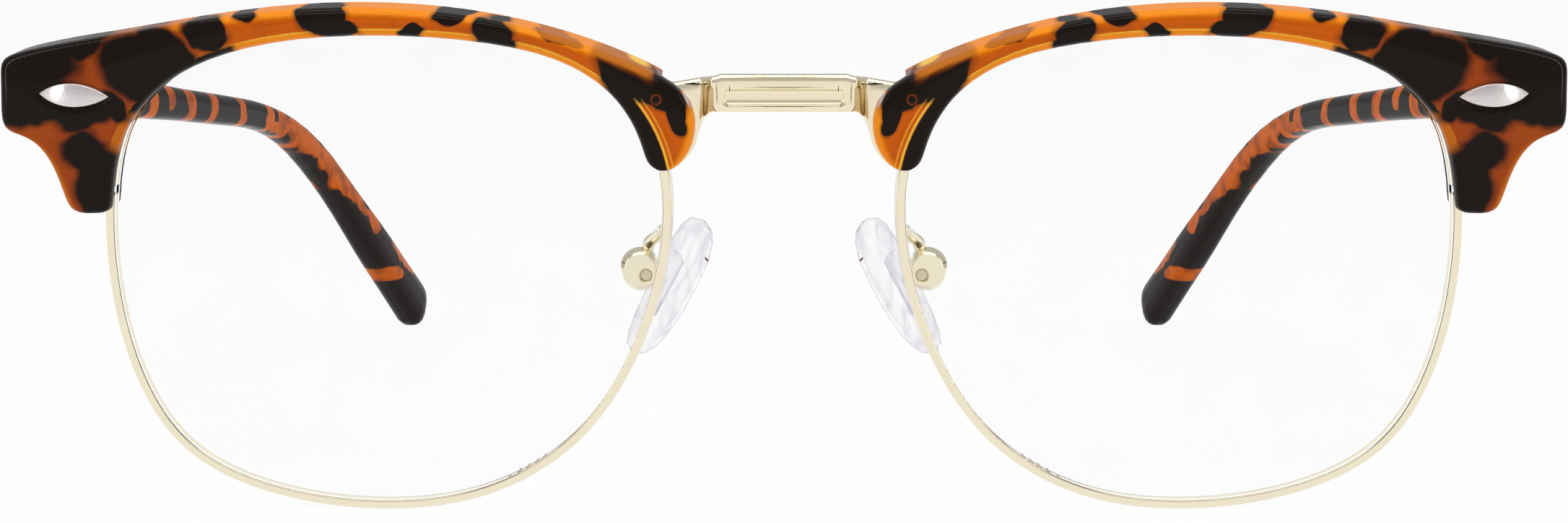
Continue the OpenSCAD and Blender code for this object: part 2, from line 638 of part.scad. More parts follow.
// Puts what is drawn with the hinge axis as z and the temple's first stretch as y in its place
module on_hinge() {
    translate([axis_x, axis_y, axis_z]) rotate([0, 0, temple_in]) children();
}

module temple_plate(grow) {
    translate([leaf_reach - (grow > 0 ? 1 : 0), 0.3 - barrel_r - grow, -temple_plate_h / 2 - grow])
        cube([plate_t + (grow > 0 ? 1 : 0) + grow, temple_plate_l + 2 * grow, temple_plate_h + 2 * grow]);
}

module temple_studs(grow) {
    for (z = [-1, 1])
        translate([leaf_reach + plate_t / 2, 2, z * temple_plate_h * 0.32]) rotate([0, 90, 0])
            cylinder(r = stud_r + grow, h = plate_t / 2 + stud_l + grow);
}

module temple_hinge() {
    color(gold) on_hinge() difference() {
        union() {
            temple_plate(0);
            temple_studs(0);
            rotate([0, 0, -90]) knuckles([1, 3], leaf_reach + plate_t / 2);
        }
        hinge_bore();
    }
}

// The temple's skin goes in at its front end and lines the channel for the wire
module temple() {
    n = len(temple_shape);
    outer = temple_rings;
    inner = [for (s = core_stations) let (ring = core_ring(s, core_r + seat_gap)) s == 0 ? temple_face(ring) : ring];
    points = concat([for (ring = outer) each ring], [for (ring = inner) each ring]);
    o = len(outer);
    c = len(inner);
    base = n * o;
    skin_faces = [for (i = [0 : o - 2], j = [0 : n - 1]) let (k = (j + 1) % n)
        [i * n + j, i * n + k, (i + 1) * n + k, (i + 1) * n + j]];
    channel = [for (i = [0 : c - 2], j = [0 : 7]) let (k = (j + 1) % 8)
        [base + i * 8 + j, base + (i + 1) * 8 + j, base + (i + 1) * 8 + k, base + i * 8 + k]];
    tip = [[for (j = [0 : n - 1]) (o - 1) * n + j]];
    channel_end = [[for (j = [7 : -1 : 0]) base + (c - 1) * 8 + j]];
    face = [for (j = [0 : 7]) let (k = (j + 1) % 8)
        each [[base + j, 2 * j + 1, 2 * j], [base + j, base + k, 2 * j + 1], [base + k, (2 * j + 2) % n, 2 * j + 1]]];
    color(tortoise) difference() {
        polyhedron(points, concat(skin_faces, channel, tip, channel_end, face), convexity = 10);
        on_hinge() temple_plate(seat_gap);
        on_hinge() temple_studs(seat_gap);
    }
}

module temple_core() {
    color(steel) skin([for (s = core_stations) let (ring = core_ring(s, core_r)) s == 0 ? temple_face(ring) : ring]);
}

// Bridge. One skin along x: the bar, its flared arms and the feet behind the brows.
// The depth of a foot is that of the lens plane, which is found from x and z by iteration.
function foot_y(x, z, y, n) = n == 0 ? y :
    let (back = y * cos(tilt) + (z - lens_z) * sin(tilt), v = (z - lens_z) * cos(tilt) - y * sin(tilt),
        u = (x - lens_x) * cos(wrap) + back * sin(wrap))
    foot_y(x, z, placed(u, v, -rim_d / 2).y, n - 1);
arm_out = 0.25;
leg_x = placed(nose_u, nose_foot + 4, 0).x - 0.1;
function bar_y(x, z) = mix(bar_front + ridge_t, foot_y(x, z, 0, 5), smooth((x - block_half) / (leg_x - block_half)));
foot_marks = [for (t = [-3.36, -3.28, -3.18, -3.06, -2.94, -2.82, -2.72])
    let (p = edge(t, rim_out + seat_gap + 0.05)) placed(p.x, p.y, 0.7)];
arm_low = bar_top - bar_h;
// Points of the brow's nose side that the arm follows from outside
arm_marks = [for (x = [4.3, 3.3, 2.6, 2, 1.4, 0.8]) let (p = open_at(brow_rows, x), q = open_at(brow_rows, x + 0.1),
    n = unit([q.y - p.y, p.x - q.x])) placed(p.x - arm_out * abs(n.x), p.y - arm_out * abs(n.y) * (x < 2.6 ? 1 : -1), 0)];
nose_tip = foot_marks[0].z - 0.35;
low_marks = [[block_half - 1, arm_low], [block_half, arm_low], [block_half + 0.8, arm_low - 0.7],
    each [for (m = arm_marks) if (m.z < arm_low - 1.2 && m.x < arm_end) [m.x, m.z]], [arm_end + 0.9, nose_tip], [arm_end + 2, nose_tip]];
function low_at(x) = let (i = max([for (j = [0 : len(low_marks) - 2]) if (low_marks[j].x <= x) j]),
        a = low_marks[i], b = low_marks[i + 1])
    mix(a.y, b.y, min(1, (x - a.x) / (b.x - a.x)));
function high_at(x) = bar_top - 0.9 * smooth((x - 4) / (arm_end - 2));
notch_out = open_at(brow_rows, notch_row);
notch_uv = [notch_out[0], notch_out[1]];
notch_in = edge(notch_out[2], opening_out);
function notch_z(x) =
    let (a = placed(notch_uv.x, notch_uv.y, 0), b = placed(notch_in.x, notch_in.y, 0))
    mix(a.z, b.z, (x - a.x) / (b.x - a.x)) - 0.2;
bar_marks = concat(
    [for (x = [0, 2, 4, 5.2]) [x * block_half / 6, arm_low, bar_top, 1]],
    [for (x = [block_half - 0.3, block_half]) [x, low_at(x), high_at(x), x < block_half ? 1 : 0]],
    [for (k = [0.1 : 0.1 : 1]) let (x = mix(block_half, foot_marks[0].x - 0.15, k)) [x, low_at(x), high_at(x), 0]],
    [for (p = foot_marks) [p.x, p.z, min(high_at(p.x), notch_z(p.x)), 0]]);
function bar_ring(mark, side) =
    let (x = mark[0], low = mark[1], high = min(mark[2], x > 8 ? notch_z(x) : 99), h = high - low, r = min(0.4, h / 5),
        outward = smooth((x - block_half) / (leg_x - block_half)), ridge = ridge_t * (mark[3] > 0 ? 1 : 1 - outward),
        face = mark[3] * ridge_t, thick = mix(bar_t - ridge_t, foot_t, smooth(x / arm_end)),
        profile = [[thick, low + r], [thick - 0.3 * r, low + 0.3 * r], [thick - r, low],
            [r - face, low], [0.3 * r - face, low + 0.3 * r], [-face, low + r],
            [-face, high - min(1.05, 0.4 * h)], [-ridge, high - min(0.8, 0.3 * h)], [-ridge, high - r],
            [0.3 * r - ridge, high - 0.3 * r], [r - ridge, high],
            [thick - r, high], [thick - 0.3 * r, high - 0.3 * r], [thick, high - r]])
    [for (q = profile) [side * x, bar_y(x, q[1]) + q[0], q[1]]];

module bridge() {
    marks = concat([for (i = [len(bar_marks) - 1 : -1 : 1]) [bar_marks[i], -1]], [for (m = bar_marks) [m, 1]]);
    color(gold) translate([0, shift_y, 0]) difference() {
        skin([for (m = marks) bar_ring(m[0], m[1])]);
        translate([-panel_w / 2, bar_front - 1, bar_top - bar_h / 2 - 0.35 - panel_h / 2]) cube([panel_w, 1 + panel_sunk, panel_h]);
        for (s = [0, 1]) mirror([s, 0, 0])
            in_lens_plane() on_sphere(nasal_u, nasal_v, seat_d) pin(brow_screw_r + seat_gap, -1, 3);
    }
}

// Pad arm: from the back of the rim round to the top of the pad box
arm_root = placed(edge_at(-4.05).x + rim_w / 2, edge_at(-4.05).y, rim_d / 2 + 0.1);
arm_stop = pad_pivot + [peg_x, 0, box_top - 0.1];
arm_points = [arm_root, arm_root + [0.1, 1.7, 0.1], mix(arm_root, arm_stop, 0.55) + [-0.3, 0, 0.6],
    mix(arm_root, arm_stop, 0.85) + [-0.25, 0.3, 0.8], arm_stop + [-0.05, 0, 0.6], arm_stop];
arm_steps = 15;
function arm_way(x) = unit(open_at(arm_points, min(x + 0.02, 5)) - open_at(arm_points, max(x - 0.02, 0)));
function arm_ring(x) =
    let (p = open_at(arm_points, x), way = arm_way(x), side = unit(cross(way, [-0.4, 0.6, 0.6])), up = cross(side, way))
    [for (j = [0 : 9]) p + arm_r * (side * cos(36 * j) + up * sin(36 * j))];

module pad_arm() {
    color(gold) union() {
        skin([for (i = [0 : arm_steps]) arm_ring(5 * i / arm_steps)]);
        translate(arm_stop - [0, 0, peg_l]) cylinder(r = peg_r, h = peg_l + 0.05);
    }
}

// Pad box: two ears round the screw and a rounded block on the side away from the nose
module pad_box() {
    color(gold) translate(pad_pivot) difference() {
        intersection() {
            for (c = box_rounds) translate([c[0], 0, c[1]]) pin(c[2], -box_d / 2, box_d / 2);
            translate([0.5, 0, 0.5]) sphere(2.05 * box_d / 2.8, $fn = 120);
        }
        translate([-3, -slot_t / 2, -5]) cube([3 + eye_r + 0.15, slot_t, 5 + eye_r + 0.2]);
        pin(pad_screw_r + 0.02, -box_d, box_d);
        pin(pad_screw_r + 0.12, -box_d, -box_d / 2 + 0.5);
        pin(pad_screw_r + 0.32, box_d / 2 - 0.45, box_d);
        translate([peg_x, 0, box_top - 0.15 - peg_l]) cylinder(r = peg_r + 0.02, h = 3);
        translate([peg_x, 0, box_top - 0.1 - 2 * seat_gap]) cylinder(r = arm_r + 2 * seat_gap, h = 3);
    }
}

module pad_screw() {
    color(steel) translate(pad_pivot) difference() {
        union() {
            pin(pad_screw_r, -box_d / 2 + 0.55, box_d / 2 - 0.1);
            pin(pad_screw_r + 0.3, box_d / 2 - 0.43, box_d / 2);
        }
        translate([0, box_d / 2, 0]) screw_slot(pad_screw_r + 0.3, 0.15);
    }
}

// Puts what is drawn with the pad's length as z, its width as y and the nose at -x in its place
module on_pad() {
    translate(pad_pivot) rotate([0, -pad_lean, 0]) rotate([0, 0, -pad_splay]) children();
}

// Insert: the eye on the screw, its neck and the plate in the back of the pad
module pad_insert() {
    plate_w = pad_w * 0.5;
    plate_l = pad_l * 0.45;
    color(clear) difference() {
        union() {
            translate(pad_pivot) pin(eye_r, -eye_t / 2, eye_t / 2);
            on_pad() translate([-pad_off + pad_t / 2 - 0.35, 0, -pad_low]) rotate([0, 90, 0])
                intersection() {
                    translate([-plate_l / 2, -plate_w / 2, 0]) cube([plate_l, plate_w, 0.35]);
                    cylinder(r = plate_l * 0.52, h = 1);
                }
            translate(pad_pivot) rotate([0, -pad_lean, 0])
                translate([-pad_off + pad_t / 2 - 0.2, -eye_t / 2, -0.55]) cube([pad_off - pad_t / 2 - 0.4, eye_t, 1.1]);
        }
        translate(pad_pivot) pin(pad_screw_r + run_gap, -2, 2);
    }
}

pad_rows = [[0.5, 0.06], [0.47, 0.5], [0.4, 0.78], [0.28, 0.96], [0.1, 1], [-0.1, 0.97], [-0.28, 0.84], [-0.4, 0.64],
    [-0.47, 0.4], [-0.5, 0.06]];

module nose_pad() {
    shape = oval(18, 0.8);
    color(clear) difference() {
        on_pad() translate([-pad_off, 0, -pad_low]) skin([for (row = pad_rows)
            let (w = row[1] * pad_w / 2, t = sqrt(row[1]) * pad_t / 2, bow = 1.1 * row[0] * row[0] * 4 * 0.35)
            [for (q = shape) [q.x * t + bow, q.y * w, row[0] * pad_l]]]);
        on_pad() translate([-pad_off + pad_t / 2 - 0.4, 0, -pad_low]) rotate([0, 90, 0])
            intersection() {
                translate([-pad_l * 0.225 - seat_gap, -pad_w * 0.25 - seat_gap, 0])
                    cube([pad_l * 0.45 + 2 * seat_gap, pad_w * 0.5 + 2 * seat_gap, 2]);
                cylinder(r = pad_l * 0.234 + seat_gap, h = 3);
            }
    }
}

bridge();
for (side = ["left", "right"]) {
    side_of(side) rim();
    side_of(side) lens();
    side_of(side) brow();
    side_of(side) end_plaque();
    side_of(side) closing_block();
    side_of(side) rim_screw();
    side_of(side) end_screw();
    side_of(side) nasal_screw();
    side_of(side) front_hinge();
    side_of(side) hinge_screw();
    side_of(side) pad_arm();
    side_of(side) pad_box();
    side_of(side) pad_screw();
    side_of(side) pad_insert();
    side_of(side) nose_pad();
    side_of(side) temple();
    side_of(side) temple_core();
    side_of(side) temple_hinge();
}
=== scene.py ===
import math

import bmesh
import bpy
from mathutils import Matrix, Vector
from mathutils.geometry import convex_hull_2d
from mathutils.kdtree import KDTree


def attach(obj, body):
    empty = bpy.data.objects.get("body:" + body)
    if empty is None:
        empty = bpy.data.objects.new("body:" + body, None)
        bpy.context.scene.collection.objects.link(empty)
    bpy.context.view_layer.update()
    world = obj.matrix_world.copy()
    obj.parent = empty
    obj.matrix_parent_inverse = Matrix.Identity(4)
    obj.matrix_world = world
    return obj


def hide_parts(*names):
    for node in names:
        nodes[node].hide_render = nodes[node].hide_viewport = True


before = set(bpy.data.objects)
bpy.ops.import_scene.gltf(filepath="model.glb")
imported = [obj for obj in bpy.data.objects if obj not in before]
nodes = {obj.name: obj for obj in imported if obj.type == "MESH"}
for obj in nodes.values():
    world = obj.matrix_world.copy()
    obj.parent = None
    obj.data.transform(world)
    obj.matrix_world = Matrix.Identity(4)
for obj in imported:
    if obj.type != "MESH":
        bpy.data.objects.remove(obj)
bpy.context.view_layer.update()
mm = 0.001
sides = ("left", "right")
signOf = {"left": 1, "right": -1}
scene = bpy.context.scene
print("frame loaded:", len(nodes), "nodes")


# Camera, fitted to the photograph: a long lens, a little above the glasses
cameraView = {
    "aim": (0, -70.542 * mm, 23.27 * mm),
    "distance": 300 * mm,
    "pitchDown": 5.9,
    "focalLength": 76.08,
    "sensorWidth": 36,
    "nearest": 10 * mm,
}


def makeCamera():
    data = bpy.data.cameras.new("frontCamera")
    data.lens = cameraView["focalLength"]
    data.sensor_width = cameraView["sensorWidth"]
    data.clip_start = cameraView["nearest"]
    camera = bpy.data.objects.new("frontCamera", data)
    scene.collection.objects.link(camera)
    pitch = math.radians(cameraView["pitchDown"])
    back = Vector((0, -math.cos(pitch), math.sin(pitch)))
    camera.location = Vector(cameraView["aim"]) + back * cameraView["distance"]
    camera.rotation_euler = (math.radians(90) - pitch, 0, 0)
    scene.camera = camera


makeCamera()
scene.view_settings.view_transform = "Standard"
print("camera in place")


# Small helpers for node trees: a value is either a number or a socket to link
def feed(tree, socket, value):
    if isinstance(value, bpy.types.NodeSocket):
        tree.links.new(value, socket)
    elif value is not None:
        socket.default_value = value


def feedNamed(tree, made, values):
    for name, value in values.items():
        feed(tree, made.inputs[name], value)


def maths(tree, operation, *values):
    made = tree.nodes.new("ShaderNodeMath")
    made.operation = operation
    for socket, value in zip(made.inputs, values):
        feed(tree, socket, value)
    return made.outputs[0]


def product(tree, result, *others):
    for other in others:
        result = maths(tree, "MULTIPLY", result, other)
    return result


def largest(tree, result, *others):
    for other in others:
        result = maths(tree, "MAXIMUM", result, other)
    return result


def remainder(tree, share):
    return maths(tree, "SUBTRACT", 1, share)


def vectorMaths(tree, operation, *values):
    made = tree.nodes.new("ShaderNodeVectorMath")
    made.operation = operation
    for socket, value in zip(made.inputs, values):
        feed(tree, socket, value)
    return made.outputs["Value" if operation == "LENGTH" else "Vector"]


# Runs from start at low to end at high, and low may be the larger of the two
def softStep(tree, value, low, high, start=0, end=1):
    made = tree.nodes.new("ShaderNodeMapRange")
    made.interpolation_type = "SMOOTHSTEP"
    feedNamed(tree, made, {
        "Value": value, "From Min": low, "From Max": high, "To Min": start, "To Max": end,
    })
    return made.outputs[0]


# 1 at the centre, down to 0 at the half width
def ridge(tree, value, centre, halfWidth):
    away = maths(tree, "ABSOLUTE", maths(tree, "SUBTRACT", value, centre))
    return softStep(tree, away, halfWidth, 0)


# Sockets 6 and 7 of a Mix node are its two colours, 2 and 3 its two numbers
def mixColour(tree, share, first, second):
    made = tree.nodes.new("ShaderNodeMix")
    made.data_type = "RGBA"
    for index, value in ((0, share), (6, first), (7, second)):
        feed(tree, made.inputs[index], value)
    return made.outputs[2]


def mixValue(tree, share, first, second):
    made = tree.nodes.new("ShaderNodeMix")
    for index, value in ((0, share), (2, first), (3, second)):
        feed(tree, made.inputs[index], value)
    return made.outputs[0]


noiseDetail = {"soft": 1, "cloudy": 2, "fine": 3}


def noiseNode(tree, vector, scale, detail):
    made = tree.nodes.new("ShaderNodeTexNoise")
    feedNamed(tree, made, {"Vector": vector, "Scale": scale, "Detail": noiseDetail[detail]})
    return made


def noise(tree, vector, scale, detail):
    return noiseNode(tree, vector, scale, detail).outputs["Fac"]


# Shifts a place by a soft noise, by half of the reach at most
def wobbled(tree, place, source, wobble):
    noiseColour = noiseNode(tree, source, wobble["scale"], "soft").outputs["Color"]
    shift = vectorMaths(tree, "SUBTRACT", noiseColour, (0.5, 0.5, 0.5))
    return vectorMaths(tree, "MULTIPLY_ADD", shift, wobble["reach"], place)


def objectPlace(tree):
    return tree.nodes.new("ShaderNodeTexCoord").outputs["Object"]


def inMillimetres(tree):
    return vectorMaths(tree, "MULTIPLY", objectPlace(tree), (1 / mm, 1 / mm, 1 / mm))


def attribute(tree, name):
    made = tree.nodes.new("ShaderNodeAttribute")
    made.attribute_name = name
    return made.outputs["Fac"]


def split(tree, vector):
    made = tree.nodes.new("ShaderNodeSeparateXYZ")
    feed(tree, made.inputs[0], vector)
    return made.outputs


def join(tree, *parts):
    made = tree.nodes.new("ShaderNodeCombineXYZ")
    for socket, value in zip(made.inputs, parts):
        feed(tree, socket, value)
    return made.outputs[0]


def rays(tree):
    return tree.nodes.new("ShaderNodeLightPath").outputs


def facingAway(tree):
    return tree.nodes.new("ShaderNodeLayerWeight").outputs["Facing"]


# A colour as a screen shows it, in 0 to 255, made linear
def fromScreen(*rgb):
    linear = [(c / 255 / 12.92) if c <= 10 else ((c / 255 + 0.055) / 1.055) ** 2.4 for c in rgb]
    return (*linear, 1)


def darker(colour, share):
    return (*(share * c for c in colour[:3]), 1)


def newMaterial(name):
    material = bpy.data.materials.new(name)
    material.use_nodes = True
    tree = material.node_tree
    return material, tree, tree.nodes["Principled BSDF"]


def makeGroup(name, inputs, outputs, build):
    group = bpy.data.node_groups.new(name, "ShaderNodeTree")
    for label, kind, value in inputs:
        socket = group.interface.new_socket(label, in_out="INPUT", socket_type=kind)
        socket.default_value = value
    for label, kind in outputs:
        group.interface.new_socket(label, in_out="OUTPUT", socket_type=kind)
    given = group.nodes.new("NodeGroupInput").outputs
    result = group.nodes.new("NodeGroupOutput").inputs
    build(group, given, result)
    return group


def useGroup(tree, group, values):
    made = tree.nodes.new("ShaderNodeGroup")
    made.node_tree = group
    feedNamed(tree, made, values)
    return made.outputs


# Light: a pale room, a softbox overhead, one in front and two upright strips at the sides
studio = {
    "roomStrength": 0.42,
    "roomReflected": 0.55,
    "floorColour": fromScreen(245, 245, 245),
    "floorWhiteShare": 0.94,
    "floorSize": 12,
    "lamps": [
        {"name": "topBox", "at": (0, -0.1, 0.75), "size": (0.9, 0.4), "power": 2.4},
        {"name": "frontBox", "at": (0, -0.7, 0.75), "size": (1.1, 0.16), "power": 1.8},
        {"name": "leftStrip", "at": (0.75, -0.45, 0.3), "size": (0.06, 0.6), "power": 0.9},
        {"name": "rightStrip", "at": (-0.75, -0.45, 0.3), "size": (0.06, 0.6), "power": 0.9},
    ],
}


def makeLamp(name, at, size, power):
    data = bpy.data.lights.new(name, "AREA")
    data.shape = "RECTANGLE"
    data.size, data.size_y = size
    data.energy = power
    lamp = bpy.data.objects.new(name, data)
    scene.collection.objects.link(lamp)
    lamp.location = at
    toGlasses = Vector(cameraView["aim"]) - Vector(at)
    lamp.rotation_euler = toGlasses.to_track_quat("-Z", "Y").to_euler()


def blendShaders(tree, share, first, second, output):
    blend = tree.nodes.new("ShaderNodeMixShader")
    for socket, value in zip(blend.inputs, (share, first.outputs[0], second.outputs[0])):
        feed(tree, socket, value)
    feed(tree, output.inputs["Surface"], blend.outputs[0])


# The room is white to the camera and through the lenses, and lights the glasses at a lower strength
def makeWorld():
    world = bpy.data.worlds.new("paleRoom")
    scene.world = world
    world.use_nodes = True
    tree = world.node_tree
    tree.nodes.clear()
    lit = tree.nodes.new("ShaderNodeBackground")
    white = tree.nodes.new("ShaderNodeBackground")
    for background in (lit, white):
        background.inputs["Color"].default_value = (1, 1, 1, 1)
    ray = rays(tree)
    strength = mixValue(tree, ray["Is Glossy Ray"], studio["roomStrength"], studio["roomReflected"])
    feed(tree, lit.inputs["Strength"], strength)
    seen = largest(tree, ray["Is Camera Ray"], ray["Is Transmission Ray"])
    blendShaders(tree, seen, lit, white, tree.nodes.new("ShaderNodeOutputWorld"))


# The floor is nearly white wherever it is seen or mirrored, and keeps a faint shadow
def makeFloor():
    half = studio["floorSize"] / 2
    mesh = bpy.data.meshes.new("floor")
    corners = [(-half, -half, 0), (half, -half, 0), (half, half, 0), (-half, half, 0)]
    mesh.from_pydata(corners, [], [(0, 1, 2, 3)])
    floor = bpy.data.objects.new("floor", mesh)
    scene.collection.objects.link(floor)
    material = bpy.data.materials.new("paleFloor")
    material.use_nodes = True
    tree = material.node_tree
    tree.nodes.clear()
    matte = tree.nodes.new("ShaderNodeBsdfDiffuse")
    matte.inputs["Color"].default_value = studio["floorColour"]
    white = tree.nodes.new("ShaderNodeEmission")
    ray = rays(tree)
    seen = largest(tree, ray["Is Camera Ray"], ray["Is Transmission Ray"], ray["Is Glossy Ray"])
    share = product(tree, seen, studio["floorWhiteShare"])
    blendShaders(tree, share, matte, white, tree.nodes.new("ShaderNodeOutputMaterial"))
    mesh.materials.append(material)


makeWorld()
makeFloor()
for lamp in studio["lamps"]:
    makeLamp(**lamp)
print("studio lit")


# Where each lens lies, as in the part's source: turned round the face, leaning, on a sphere
lensPlace = {
    "turn": math.radians(5),
    "lean": math.radians(6),
    "sphere": 130 * mm,
    "middle": (36.25 * mm, -70.542 * mm, 22.365 * mm),
}


def sphereSag(out, up):
    radius = lensPlace["sphere"]
    return radius - math.sqrt(radius * radius - out * out - up * up)


# A point's place out from the lens's middle, up from it, and behind its front sphere
def toLensPlane(point, side):
    x = point.x * signOf[side] - lensPlace["middle"][0]
    y = point.y - lensPlace["middle"][1]
    z = point.z - lensPlace["middle"][2]
    turn, lean = lensPlace["turn"], lensPlace["lean"]
    back = y * math.cos(lean) + z * math.sin(lean)
    up = z * math.cos(lean) - y * math.sin(lean)
    out = x * math.cos(turn) + back * math.sin(turn)
    deep = back * math.cos(turn) - x * math.sin(turn)
    return Vector((out, up, deep - sphereSag(out, up)))


def lensMatrix(side):
    swap = Matrix(((1, 0, 0, 0), (0, 0, 1, 0), (0, 1, 0, 0), (0, 0, 0, 1)))  # up is z, deep is y
    turned = Matrix.Rotation(lensPlace["lean"], 4, "X") @ Matrix.Rotation(lensPlace["turn"], 4, "Z")
    mirror = Matrix.Scale(signOf[side], 4, Vector((1, 0, 0)))
    return mirror @ Matrix.Translation(Vector(lensPlace["middle"])) @ turned @ swap


def lensOutline(side):
    points = [toLensPlane(v.co, side).to_2d() for v in nodes[side + "_lens"].data.vertices]
    return [points[i] for i in convex_hull_2d(points)]


# A finer, softly rounded copy of a CAD piece
softening = {"weldWithin": 0.0001 * mm, "smoothFactor": 0.5}


def softCopy(node, name, voxel, rounds, body):
    mesh = nodes[node].data.copy()
    mesh.materials.clear()
    piece = bpy.data.objects.new(name, mesh)
    scene.collection.objects.link(piece)
    shell = bmesh.new()
    shell.from_mesh(mesh)
    bmesh.ops.remove_doubles(shell, verts=shell.verts, dist=softening["weldWithin"])
    shell.to_mesh(mesh)
    shell.free()
    remesh = piece.modifiers.new("remesh", "REMESH")
    remesh.mode = "VOXEL"
    remesh.voxel_size = voxel
    smooth = piece.modifiers.new("smooth", "SMOOTH")
    smooth.factor = softening["smoothFactor"]
    smooth.iterations = rounds
    return bake(piece, body, node)


def bake(piece, body, *replaced):
    depsgraph = bpy.context.evaluated_depsgraph_get()
    mesh = bpy.data.meshes.new_from_object(piece.evaluated_get(depsgraph), depsgraph=depsgraph)
    piece.modifiers.clear()
    piece.data = mesh
    for face in mesh.polygons:
        face.use_smooth = True
    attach(piece, body)
    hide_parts(*replaced)
    return piece


def finish(piece, slot, material=None):
    piece.data.materials.clear()
    piece.data.materials.append(material or finishes[slot])


# Shared effects
def buildBlotch(tree, given, result):
    flat = vectorMaths(tree, "SUBTRACT", given["Place"], given["Centre"])
    turned = tree.nodes.new("ShaderNodeVectorRotate")
    turned.rotation_type = "Z_AXIS"
    feedNamed(tree, turned, {"Vector": flat, "Angle": given["Turn"]})
    scaled = vectorMaths(tree, "DIVIDE", turned.outputs[0], given["Half Size"])
    inside = remainder(tree, vectorMaths(tree, "LENGTH", scaled))
    feed(tree, result["Depth"], largest(tree, given["Before"], inside))


def buildGrain(tree, given, result):
    fine = noise(tree, objectPlace(tree), given["Scale"], "fine")
    swing = maths(tree, "SUBTRACT", fine, 0.5)
    rough = maths(tree, "MULTIPLY_ADD", swing, given["Variation"], given["Roughness"])
    feed(tree, result["Roughness"], rough)


farOutside = -10  # the depth where no blotch is near
blotchGroup = makeGroup(
    "blotch",
    [
        ("Place", "NodeSocketVector", (0, 0, 0)),
        ("Centre", "NodeSocketVector", (0, 0, 0)),
        ("Half Size", "NodeSocketVector", (1, 1, 1)),
        ("Turn", "NodeSocketFloat", 0),
        ("Before", "NodeSocketFloat", farOutside),
    ],
    [("Depth", "NodeSocketFloat")],
    buildBlotch,
)
grainGroup = makeGroup(
    "grain",
    [
        ("Scale", "NodeSocketFloat", 900),
        ("Roughness", "NodeSocketFloat", 0.2),
        ("Variation", "NodeSocketFloat", 0.1),
    ],
    [("Roughness", "NodeSocketFloat")],
    buildGrain,
)


# Depth inside the nearest of some ellipses: 1 at its middle, 0 on its edge, less outside
def blotches(tree, place, spots):
    depth = farOutside
    for centre, halfSize, turn in spots:
        depth = useGroup(tree, blotchGroup, {
            "Place": place,
            "Centre": (*centre, 0),
            "Half Size": (*halfSize, 1),
            "Turn": -math.radians(turn),
            "Before": depth,
        })["Depth"]
    return depth


def applyGrain(tree, shader, scale, roughness, variation):
    grain = useGroup(tree, grainGroup, {"Scale": scale, "Roughness": roughness, "Variation": variation})
    feed(tree, shader.inputs["Roughness"], grain["Roughness"])


